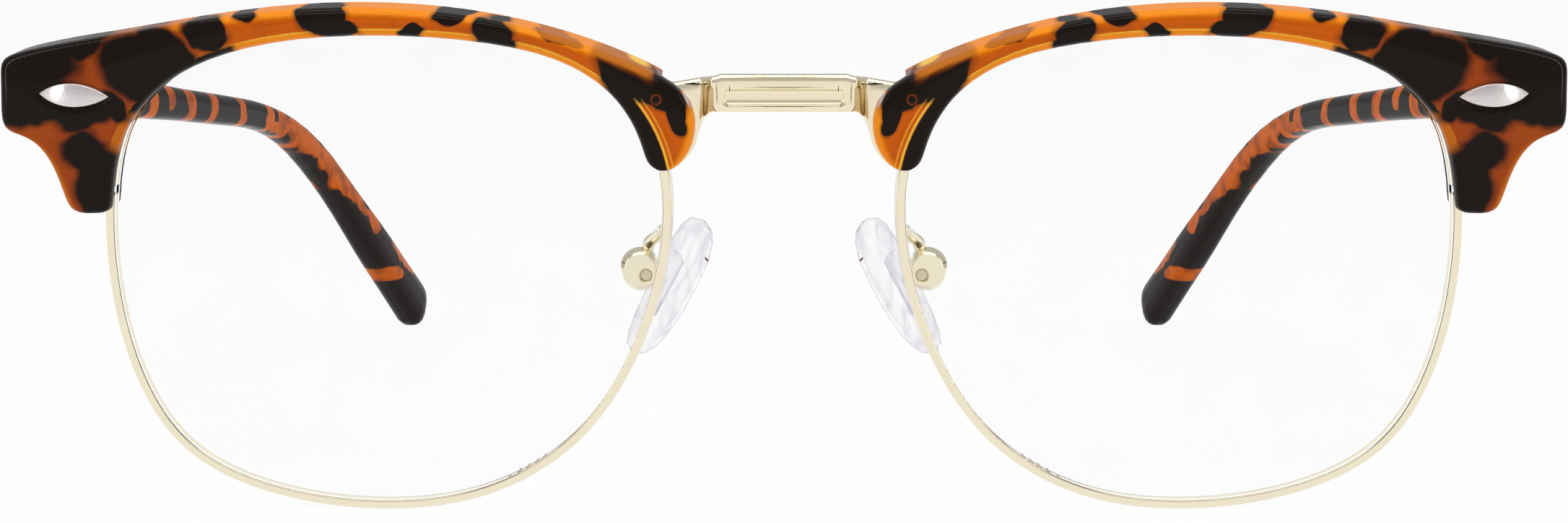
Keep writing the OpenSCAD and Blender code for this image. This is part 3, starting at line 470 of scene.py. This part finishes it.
# Tortoiseshell of the brows, with painted light and shade, in millimetres off the middle and off the ground.
# A spot is ((sideways, up), (half width, half height), turn in degrees). A step is (from, to), and may
# go on with the values at its two ends.
browLook = {
    "amber": fromScreen(208, 94, 0),
    "deepAmber": fromScreen(160, 66, 14),
    # painted light: the bright amber of the bevel and top faces
    "lip": fromScreen(255, 150, 20),
    # painted highlight: the line in the crease along the lens and the glints down the nose leg
    "line": fromScreen(255, 205, 70),
    "dark": fromScreen(24, 16, 12),
    "halo": fromScreen(96, 42, 18),
    "spots": [
        ((70.4, 41), (7, 3.4), -4),
        ((69.8, 37.6), (6.4, 2.3), 0),
        ((63.6, 36.7), (3, 1.9), -8),
        ((64.6, 43.2), (4, 2), -8),
        ((58.3, 40.7), (4, 3), 32),
        ((56, 42.2), (3.2, 2.2), 25),
        ((63.4, 33), (2.3, 2.1), 10),
        ((62, 30), (2.6, 3.6), 4),
        ((60.6, 37.2), (1, 1.8), -30),
        ((51.8, 43.9), (2.1, 1.6), 20),
        ((48.4, 45.7), (1.3, 0.8), 10),
        ((41.1, 45.4), (2.3, 1.7), 0),
        ((39.9, 44.3), (2, 1), 0),
        ((33.1, 44.1), (1.2, 0.6), 0),
        ((29.5, 45.9), (1.8, 1.1), -20),
        ((25.9, 44), (1.7, 1.5), 0),
        ((25.7, 43), (1.8, 0.8), 0),
        ((20.2, 43.7), (2.1, 0.5), 22),
        ((13.9, 40.3), (3.5, 1.9), 40),
        ((10.8, 38.6), (2.6, 1.4), 42),
        ((9.5, 36.5), (0.9, 1.7), -8),
    ],
    "wobble": {"scale": 0.45, "reach": (1.6, 1.6, 0), "depthShare": 0.6},
    "blotchEdge": (-0.04, 0.07),
    "blotchBlur": (50, 58, 1, 2.6),  # sideways: softer blotches on the end piece
    "haloStep": (-0.25, 0.02, 0, 0.5),
    "endDeepness": (50, 58, 0, 0.95),
    "cloud": {"scale": 0.3, "step": (0.5, 0.8, 0, 0.5)},
    "streaks": {"along": 0.06, "across": 1.6, "step": (0.45, 0.75, 0, 0.45)},
    "edgeLight": (50, 58, 0.9, 0.35),
    "creaseLight": (46, 52, 0.75, 0.15),
    "creaseRidge": (0.5, 0.5),
    "noseLeg": {"sideways": (16.8, 15.4), "up": (40.4, 39)},
    "noseLegFoot": (38.4, 37.4),
    # where painted shade darkens the lens-side bevel
    "paintedBevelShadeRegion": {"sideways": (48.8, 49.6), "up": (36, 37)},
    # where painted light keeps the top face over the nose amber
    "paintedLightOverNose": {"inner": (11.4, 12.4), "outer": (24, 21)},
    # painted shade in a band along the nose leg: its width and soft edge
    "paintedShadeBand": {"width": 0.65, "edge": 0.12},
    "glints": [((0.12, 0.16), 1), ((0.55, 0.1), 0.6)],  # ((past the band, half width), share)
    "ring": {"at": (11.4, 38.1), "radius": 0.42, "width": 0.16, "share": 0.8},
    "ringColour": fromScreen(120, 55, 20),
    "frontFace": (0.4, 0),
    "noseMarks": [
        ([((13.1, 41.5), (1.5, 0.24), 28)], fromScreen(255, 205, 70)),
        ([((11.15, 40.45), (0.55, 0.22), 38)], fromScreen(150, 118, 105)),
        # a painted highlight on the nose edge
        ([((8.75, 38.2), (1.3, 0.17), 65)], fromScreen(196, 178, 182)),
    ],
    "markEdge": (0, 0.6),
    "mirrored": fromScreen(225, 212, 182),
    "mirroredShare": 0.85,
    "specular": (0.55, 0.9, 0.1, 0.004),
    "grain": {"scale": 400, "roughness": 0.08, "variation": 0.03},
}


def browPlaces(tree):
    place = inMillimetres(tree)
    x, y, up = split(tree, place)
    away = maths(tree, "ABSOLUTE", x)
    flat = join(tree, away, up, 0)
    solid = join(tree, away, up, product(tree, y, browLook["wobble"]["depthShare"]))
    leg = browLook["noseLeg"]
    across = attribute(tree, "lensEdge")
    return {
        "place": place,
        "away": away,
        "up": up,
        "flat": flat,
        "depth": blotches(tree, wobbled(tree, flat, solid, browLook["wobble"]), browLook["spots"]),
        "across": across,
        "pastBand": maths(tree, "SUBTRACT", across, browLook["paintedShadeBand"]["width"]),
        "bevel": attribute(tree, "bevelFace"),
        "top": attribute(tree, "topFace"),
        "onNose": product(tree, softStep(tree, away, *leg["sideways"]), softStep(tree, up, *leg["up"])),
    }


# Dark are the blotches, and painted shade on the lens-side bevel from the temple up to the first
# blotch and in a band along the nose leg. Painted light keeps the top edge over the nose amber.
def browDarkShare(tree, at):
    away = at["away"]
    blur = softStep(tree, away, *browLook["blotchBlur"])
    blotch = softStep(tree, maths(tree, "DIVIDE", at["depth"], blur), *browLook["blotchEdge"])
    lip = browLook["paintedBevelShadeRegion"]
    inPaintedBevelShade = product(tree, softStep(tree, away, *lip["sideways"]), softStep(tree, at["up"], *lip["up"]))
    edge = browLook["paintedShadeBand"]["edge"]
    paintedShadeBand = product(tree, softStep(tree, at["pastBand"], edge, -edge), at["onNose"])
    # the blotches, with painted shade on the bevel and in the band along the nose leg
    dark = largest(tree, blotch, product(tree, inPaintedBevelShade, at["bevel"]), paintedShadeBand)
    # painted light keeps the top face over the nose amber
    over = browLook["paintedLightOverNose"]
    paintedLightOverNose = product(tree, softStep(tree, away, *over["inner"]), softStep(tree, away, *over["outer"]))
    return product(tree, dark, remainder(tree, product(tree, paintedLightOverNose, at["top"])))


# Amber runs deeper on the end piece, in streaks along the sweep and round the blotches;
# painted light brightens the edges, and a painted highlight lies in the crease along the lens
def browAmber(tree, at):
    away = at["away"]
    cloud = noise(tree, at["place"], browLook["cloud"]["scale"], "fine")
    clouded = softStep(tree, cloud, *browLook["cloud"]["step"])
    deep = maths(tree, "ADD", softStep(tree, away, *browLook["endDeepness"]), clouded)
    amber = mixColour(tree, deep, browLook["amber"], browLook["deepAmber"])
    streaks = browLook["streaks"]
    along = product(tree, attribute(tree, "sweep"), streaks["along"])
    across = product(tree, at["across"], streaks["across"])
    streak = noise(tree, join(tree, along, across, 0), 1, "fine")
    amber = mixColour(tree, softStep(tree, streak, *streaks["step"]), amber, browLook["deepAmber"])
    # painted light brightens the bevel and top faces, less on the end piece
    edges = largest(tree, at["bevel"], at["top"])
    paintedEdgeLight = product(tree, edges, softStep(tree, away, *browLook["edgeLight"]))
    amber = mixColour(tree, paintedEdgeLight, amber, browLook["lip"])
    # a painted highlight line in the crease along the lens, fading on the end piece, off the nose leg
    paintedCreaseLine = product(
        tree, ridge(tree, at["bevel"], *browLook["creaseRidge"]),
        softStep(tree, away, *browLook["creaseLight"]), remainder(tree, at["onNose"]),
    )
    amber = mixColour(tree, paintedCreaseLine, amber, browLook["line"])
    return mixColour(tree, softStep(tree, at["depth"], *browLook["haloStep"]), amber, browLook["halo"])


# Two painted glints down the nose leg, the ring round the screw seen through it, and three short marks, the
# palest a painted highlight
def browNoseMarks(tree, at, colour):
    past = at["pastBand"]
    # painted glints down the lower nose leg
    glints = [product(tree, ridge(tree, past, *place), share) for place, share in browLook["glints"]]
    low = product(tree, at["onNose"], softStep(tree, at["up"], *browLook["noseLegFoot"]))
    colour = mixColour(tree, product(tree, largest(tree, *glints), low), colour, browLook["line"])
    ring = browLook["ring"]
    fromRing = vectorMaths(tree, "LENGTH", vectorMaths(tree, "SUBTRACT", at["flat"], (*ring["at"], 0)))
    onFront = softStep(tree, maths(tree, "ADD", at["bevel"], at["top"]), *browLook["frontFace"])
    ringShare = product(tree, ridge(tree, fromRing, ring["radius"], ring["width"]), onFront, ring["share"])
    colour = mixColour(tree, ringShare, colour, browLook["ringColour"])
    # three short marks; the palest is a painted highlight
    for spots, tone in browLook["noseMarks"]:
        share = softStep(tree, blotches(tree, at["flat"], spots), *browLook["markEdge"])
        colour = mixColour(tree, share, colour, tone)
    return colour


# The metal beside the brow mirrors pale metal and not acetate. Rays refracted by the lens count
# as glossy too, and are left out.
def paleWhereMirrored(tree, colour):
    ray = rays(tree)
    mirrored = maths(tree, "SUBTRACT", ray["Is Glossy Ray"], ray["Is Transmission Ray"])
    share = product(tree, largest(tree, mirrored, 0), browLook["mirroredShare"])
    return mixColour(tree, share, colour, browLook["mirrored"])


def browMaterial():
    material, tree, shader = newMaterial("browTortoise")
    at = browPlaces(tree)
    colour = mixColour(tree, browDarkShare(tree, at), browAmber(tree, at), browLook["dark"])
    colour = paleWhereMirrored(tree, browNoseMarks(tree, at, colour))
    feed(tree, shader.inputs["Base Color"], colour)
    feed(tree, shader.inputs["Specular IOR Level"], softStep(tree, facingAway(tree), *browLook["specular"]))
    applyGrain(tree, shader, **browLook["grain"])
    return material


# Temples: amber blotches on dark, placed as ((backwards, up), (half length, half height), turn)
templeLook = {
    "amber": fromScreen(216, 100, 0),
    "deepAmber": fromScreen(158, 70, 12),
    "dark": fromScreen(30, 21, 18),
    "spots": [
        ((-54, 39), (2, 6), 15),
        ((-47.5, 38.4), (1.5, 5), -12),
        ((-42, 39), (3, 1.2), 0),
        ((-37, 37), (1.5, 6), 8),
        ((-30.8, 35.9), (1.5, 6), 0),
        ((-25, 36.6), (1.4, 2.2), 0),
        ((-17.5, 34.7), (1.5, 6), 0),
        ((-9.6, 34), (1.5, 6), 0),
        ((1.3, 32.8), (1.4, 6), 10),
        ((12, 32), (1.4, 3), 12),
        ((17, 31), (1.7, 3), 15),
        ((14, 30.2), (4, 0.8), -15),
        ((25, 28.2), (8, 1.5), -18),
        ((37, 23), (9.5, 1.6), -27),
        ((46, 18.4), (2.8, 1.1), -30),
        ((50.5, 15.9), (2.8, 1.1), -30),
        ((62.8, 10.6), (5.5, 1.8), -29),
        ((58.5, 8.6), (3.2, 0.9), -10),
        ((73, 5.5), (1.6, 1), -30),
    ],
    "wobble": {"scale": 0.35, "reach": (2.2, 1.6, 0)},
    "blotchEdge": (-0.06, 0.14),
    "cloud": {"scale": 0.5, "step": (0.4, 0.7)},
    "specular": 0.015,
    "grain": {"scale": 400, "roughness": 0.14, "variation": 0.03},
}


def templeMaterial():
    material, tree, shader = newMaterial("templeTortoise")
    place = inMillimetres(tree)
    _, backwards, up = split(tree, place)
    flat = join(tree, backwards, up, 0)
    depth = blotches(tree, wobbled(tree, flat, flat, templeLook["wobble"]), templeLook["spots"])
    cloud = noise(tree, place, templeLook["cloud"]["scale"], "fine")
    deep = softStep(tree, cloud, *templeLook["cloud"]["step"])
    amber = mixColour(tree, deep, templeLook["amber"], templeLook["deepAmber"])
    colour = mixColour(tree, softStep(tree, depth, *templeLook["blotchEdge"]), templeLook["dark"], amber)
    feed(tree, shader.inputs["Base Color"], colour)
    shader.inputs["Specular IOR Level"].default_value = templeLook["specular"]
    applyGrain(tree, shader, **templeLook["grain"])
    return material


# Fine painted lines in the bridge, dark for reflection and shade, fainter for shade along its middle block:
# ((sideways, up), (half length, half width), turn)
bridgeLook = {
    "gold": fromScreen(240, 228, 198),
    "line": fromScreen(60, 45, 22),
    "faint": fromScreen(150, 130, 90),
    "lines": [
        ((8.2, 39.4), (1.1, 0.12), 4),
        ((10.1, 37.6), (1.5, 0.1), -72),
        ((5.1, 37.6), (0.32, 0.06), 65),
        ((4.85, 39), (0.4, 0.05), 90),
    ],
    "faintLines": [
        ((6, 38.6), (1.2, 0.07), 88),
        ((6.2, 37.2), (0.5, 0.07), 55),
        ((0, 39.15), (4.7, 0.06), 0),
        ((0, 37.45), (4.7, 0.06), 0),
        ((0, 40.05), (5.6, 0.05), 0),
        ((0, 36.75), (5.2, 0.06), 0),
    ],
    "lineEdge": (0, 0.6),
    "wobble": {"scale": 2, "reach": (0.15, 0.15, 0)},
    "grain": {"scale": 900, "roughness": 0.1, "variation": 0.05},
}


def bridgeMaterial():
    material, tree, shader = newMaterial("bridgeGold")
    shader.inputs["Metallic"].default_value = 1
    x, _, up = split(tree, inMillimetres(tree))
    flat = join(tree, maths(tree, "ABSOLUTE", x), up, 0)
    flat = wobbled(tree, flat, flat, bridgeLook["wobble"])
    colour = bridgeLook["gold"]
    # painted lines of faint shade, then dark lines of reflection and shade
    for lines, tone in (("faintLines", "faint"), ("lines", "line")):
        share = softStep(tree, blotches(tree, flat, bridgeLook[lines]), *bridgeLook["lineEdge"])
        colour = mixColour(tree, share, colour, bridgeLook[tone])
    feed(tree, shader.inputs["Base Color"], colour)
    applyGrain(tree, shader, **bridgeLook["grain"])
    return material


# Clear soft plastic, greyed by painted shade towards its outline, with flow marks along the pad
padLook = {
    "clear": (0.97, 0.965, 0.975, 1),
    # painted shade towards the pad's outline
    "outline": fromScreen(178, 174, 186),
    "streak": fromScreen(214, 210, 220),
    "streakShare": 0.6,
    "flowStretch": 4,
    "flowBend": 2,
    "flowBendScale": 0.3,
    "flowScale": 0.4,
    "flowRidge": (0.5, 0.09),
    "paintedEdgeShadeStep": (0.4, 0.95),
    "ior": 1.06,
    "roughness": (0.02, 0.06),
}


def padMaterial():
    material, tree, shader = newMaterial("clearPad")
    shader.inputs["Transmission Weight"].default_value = 1
    shader.inputs["IOR"].default_value = padLook["ior"]
    stretched = (1 / mm, 1 / mm, 1 / mm / padLook["flowStretch"])
    place = vectorMaths(tree, "MULTIPLY", objectPlace(tree), stretched)
    bend = noiseNode(tree, place, padLook["flowBendScale"], "soft").outputs["Color"]
    bent = vectorMaths(tree, "MULTIPLY_ADD", bend, (padLook["flowBend"],) * 3, place)
    flow = ridge(tree, noise(tree, bent, padLook["flowScale"], "soft"), *padLook["flowRidge"])
    streak = product(tree, flow, padLook["streakShare"])
    colour = mixColour(tree, streak, padLook["clear"], padLook["streak"])
    # painted shade: greyer where the pad turns away from view
    outline = softStep(tree, facingAway(tree), *padLook["paintedEdgeShadeStep"])
    feed(tree, shader.inputs["Base Color"], mixColour(tree, outline, colour, padLook["outline"]))
    feed(tree, shader.inputs["Roughness"], softStep(tree, flow, 0, 1, *padLook["roughness"]))
    return material


# Plain metals and clear plastics, each named by the slot that it fills, and faintly clouded
metalLooks = {
    "gold": {
        "name": "champagneGold", "colour": fromScreen(243, 233, 206),
        "roughness": 0.14, "variation": 0.05, "scale": 1200,
    },
    "silver": {
        "name": "plaqueSilver", "colour": fromScreen(226, 218, 218),
        "roughness": 0.22, "variation": 0.1, "scale": 1200,
    },
    "screw_steel": {
        "name": "screwSteel", "colour": fromScreen(215, 205, 180),
        "roughness": 0.25, "variation": 0.15, "scale": 2500,
    },
    "wire": {
        "name": "coreWire", "colour": fromScreen(190, 188, 184),
        "roughness": 0.3, "variation": 0.15, "scale": 2500,
    },
}
clearLooks = {
    "lens": {"name": "clearLens", "colour": (0.985, 0.99, 0.99, 1), "ior": 1.12, "roughness": 0},
    "clear_core": {"name": "padCore", "colour": (0.93, 0.925, 0.94, 1), "ior": 1.08, "roughness": 0.05},
}
cloudLook = {
    "metalScaleShare": 1 / 6,  # of the grain's scale
    "metalDarker": 0.93,
    "clearScale": 200,
    "clearDarker": 0.985,
    "clearRougher": 1.5,
}


def metalMaterial(name, colour, roughness, variation, scale):
    material, tree, shader = newMaterial(name)
    shader.inputs["Metallic"].default_value = 1
    tint = noise(tree, objectPlace(tree), scale * cloudLook["metalScaleShare"], "cloudy")
    tinted = mixColour(tree, tint, colour, darker(colour, cloudLook["metalDarker"]))
    feed(tree, shader.inputs["Base Color"], tinted)
    applyGrain(tree, shader, scale, roughness, variation)
    return material


def clearMaterial(name, colour, ior, roughness):
    material, tree, shader = newMaterial(name)
    shader.inputs["Transmission Weight"].default_value = 1
    shader.inputs["IOR"].default_value = ior
    tint = noise(tree, objectPlace(tree), cloudLook["clearScale"], "soft")
    tinted = mixColour(tree, tint, colour, darker(colour, cloudLook["clearDarker"]))
    feed(tree, shader.inputs["Base Color"], tinted)
    rougher = roughness * cloudLook["clearRougher"]
    feed(tree, shader.inputs["Roughness"], softStep(tree, tint, 0, 1, roughness, rougher))
    return material


finishes = {"clear_pad": padMaterial(), "tortoise": templeMaterial()}
for slotName, look in metalLooks.items():
    finishes[slotName] = metalMaterial(**look)
for slotName, look in clearLooks.items():
    finishes[slotName] = clearMaterial(**look)
browTortoise = browMaterial()
bridgeGold = bridgeMaterial()
for node in nodes.values():
    for slot in node.material_slots:
        slot.material = finishes[slot.name]
print("finishes made")


# Brows: softly polished edges, with marks on every point for the streaks along the sweep. A
# face is bevel or top as it leans towards the lens or away from it.
browShell = {"voxel": 0.17 * mm, "rounds": 9, "leanStart": 0.25, "leanFull": 0.5}


def leanShare(lean):
    low, high = browShell["leanStart"], browShell["leanFull"]
    return min(1, max(0, (lean - low) / (high - low)))


def markBrow(piece, side):
    outline = lensOutline(side)
    nearest = KDTree(len(outline))
    lengths = [0]
    for i, point in enumerate(outline):
        nearest.insert(point.to_3d(), i)
        lengths.append(lengths[-1] + (outline[(i + 1) % len(outline)] - point).length)
    nearest.balance()
    toPlane = lensMatrix(side).inverted().to_3x3()
    marks = {"lensEdge": [], "sweep": [], "bevelFace": [], "topFace": []}
    for vertex in piece.data.vertices:
        local = toLensPlane(vertex.co, side).to_2d()
        _, i, _ = nearest.find(local.to_3d())
        along = (outline[(i + 1) % len(outline)] - outline[i - 1]).normalized()
        out = Vector((along.y, -along.x))
        if out.dot(outline[i]) < 0:
            out = -out
        gap = local - outline[i]
        lean = (toPlane @ vertex.normal).to_2d().dot(out)
        marks["lensEdge"].append(gap.dot(out) / mm)
        marks["sweep"].append((lengths[i] + gap.dot(along)) / mm)
        marks["bevelFace"].append(leanShare(-lean))
        marks["topFace"].append(leanShare(lean))
    for name, values in marks.items():
        piece.data.attributes.new(name, "FLOAT", "POINT").data.foreach_set("value", values)


for side in sides:
    brow = softCopy(side + "_brow", side + "_brow_acetate", browShell["voxel"], browShell["rounds"], "front")
    markBrow(brow, side)
    finish(brow, "tortoise", browTortoise)
print("brows made")

# Temples, bridge, plaques and the small metal parts with softly rounded edges
softPieces = {
    "bridge": {"voxel": 0.1 * mm, "rounds": 8},
    "temple": {"voxel": 0.2 * mm, "rounds": 6},
    "end_plaque": {"voxel": 0.06 * mm, "rounds": 2},
    "nose_pad": {"voxel": 0.12 * mm, "rounds": 3},
    "pad_arm": {"voxel": 0.08 * mm, "rounds": 2},
    "pad_box": {"voxel": 0.07 * mm, "rounds": 2},
}


def softPiece(prefix, part, shownAs, body, slot, material=None):
    piece = softCopy(prefix + part, prefix + shownAs, **softPieces[part], body=body)
    finish(piece, slot, material)


softPiece("", "bridge", "bridge_polished", "front", "gold", bridgeGold)
for side in sides:
    prefix = side + "_"
    softPiece(prefix, "temple", "temple_acetate", prefix + "temple_body", "tortoise")
    softPiece(prefix, "end_plaque", "plaque_polished", "front", "silver")
    softPiece(prefix, "nose_pad", "pad_moulded", prefix + "pad_body", "clear_pad")
    softPiece(prefix, "pad_arm", "arm_wire", "front", "gold")
    softPiece(prefix, "pad_box", "box_polished", "front", "gold")
print("soft pieces made")


# Rim wires: a rounded bar that follows the lens, open where the closing block clamps it
rimWire = {
    "inputs": {"Width": 0.8 * mm, "Depth": 2 * mm, "Edge Radius": 0.16 * mm, "Spacing": 0.5 * mm},
    "edgeSteps": 3,
    "cut": 0.3 * mm,
    "blockReach": 3 * mm,
    "sharpAngle": math.radians(60),
}


def nodeTree(name, inputs):
    tree = bpy.data.node_groups.new(name, "GeometryNodeTree")
    tree.interface.new_socket("Geometry", in_out="INPUT", socket_type="NodeSocketGeometry")
    for label, kind in inputs:
        tree.interface.new_socket(label, in_out="INPUT", socket_type=kind)
    tree.interface.new_socket("Geometry", in_out="OUTPUT", socket_type="NodeSocketGeometry")
    given = tree.nodes.new("NodeGroupInput").outputs
    result = tree.nodes.new("NodeGroupOutput").inputs
    return tree, given, result


def chain(tree, geometry, kind, values=None):
    made = tree.nodes.new(kind)
    if geometry is not None:
        tree.links.new(geometry, made.inputs[0])
    feedNamed(tree, made, values or {})
    return made


def rimTree():
    inputs = [(name, "NodeSocketFloat") for name in rimWire["inputs"]]
    tree, given, result = nodeTree("rimWire", inputs + [("Material", "NodeSocketMaterial")])
    path = chain(tree, given["Geometry"], "GeometryNodeMeshToCurve")
    resample = chain(tree, path.outputs[0], "GeometryNodeResampleCurve")
    resample.mode = "LENGTH"
    feed(tree, resample.inputs["Length"], given["Spacing"])
    upright = chain(tree, resample.outputs[0], "GeometryNodeSetCurveNormal")
    upright.mode = "Z_UP"
    size = {"Width": given["Width"], "Height": given["Depth"]}
    profile = chain(tree, None, "GeometryNodeCurvePrimitiveQuadrilateral", size)
    rounded = chain(tree, profile.outputs[0], "GeometryNodeFilletCurve", {"Radius": given["Edge Radius"]})
    rounded.mode = "POLY"
    feed(tree, rounded.inputs["Count"], rimWire["edgeSteps"])
    sweep = chain(tree, upright.outputs[0], "GeometryNodeCurveToMesh", {"Fill Caps": True})
    tree.links.new(rounded.outputs[0], sweep.inputs["Profile Curve"])
    real = chain(tree, sweep.outputs[0], "GeometryNodeRealizeInstances")
    painted = chain(tree, real.outputs[0], "GeometryNodeSetMaterial", {"Material": given["Material"]})
    tree.links.new(painted.outputs[0], result[0])
    return tree


def growPiece(name, mesh, tree, values, body, *replaced):
    piece = bpy.data.objects.new(name, mesh)
    scene.collection.objects.link(piece)
    grow = piece.modifiers.new("grow", "NODES")
    grow.node_group = tree
    for socket in tree.interface.items_tree:
        if socket.in_out == "INPUT" and socket.name in values:
            grow[socket.identifier] = values[socket.name]
    return bake(piece, body, *replaced)


# The lens's outline on its sphere, from one side of the closing block round to the other
def rimPath(side):
    block = nodes[side + "_closing_block"].data.vertices
    middle = sum((toLensPlane(v.co, side) for v in block), Vector()) / len(block)
    reach, cut = rimWire["blockReach"], rimWire["cut"]
    outline = [p for p in lensOutline(side) if p.x < middle.x - reach or abs(p.y - middle.y) > cut / 2]
    besideBlock = [i for i, p in enumerate(outline) if p.x > 0 and abs(p.y - middle.y) < reach]
    start = max(besideBlock, key=lambda i: (outline[i] - outline[i - 1]).length)
    points = [(p.x, p.y, sphereSag(p.x, p.y)) for p in outline[start:] + outline[:start]]
    mesh = bpy.data.meshes.new(side + "_rimPath")
    mesh.from_pydata(points, [(i, i + 1) for i in range(len(points) - 1)], [])
    return mesh


rimGroup = rimTree()
rimInputs = {**rimWire["inputs"], "Material": finishes["gold"]}
for side in sides:
    wire = growPiece(side + "_rim_wire", rimPath(side), rimGroup, rimInputs, "front", side + "_rim")
    wire.data.transform(lensMatrix(side))
    if side == "left":  # the swap turns faces inside out, and the right side's mirror turns them back
        wire.data.flip_normals()
    wire.data.set_sharp_from_angle(angle=rimWire["sharpAngle"])
print("rim wires made")
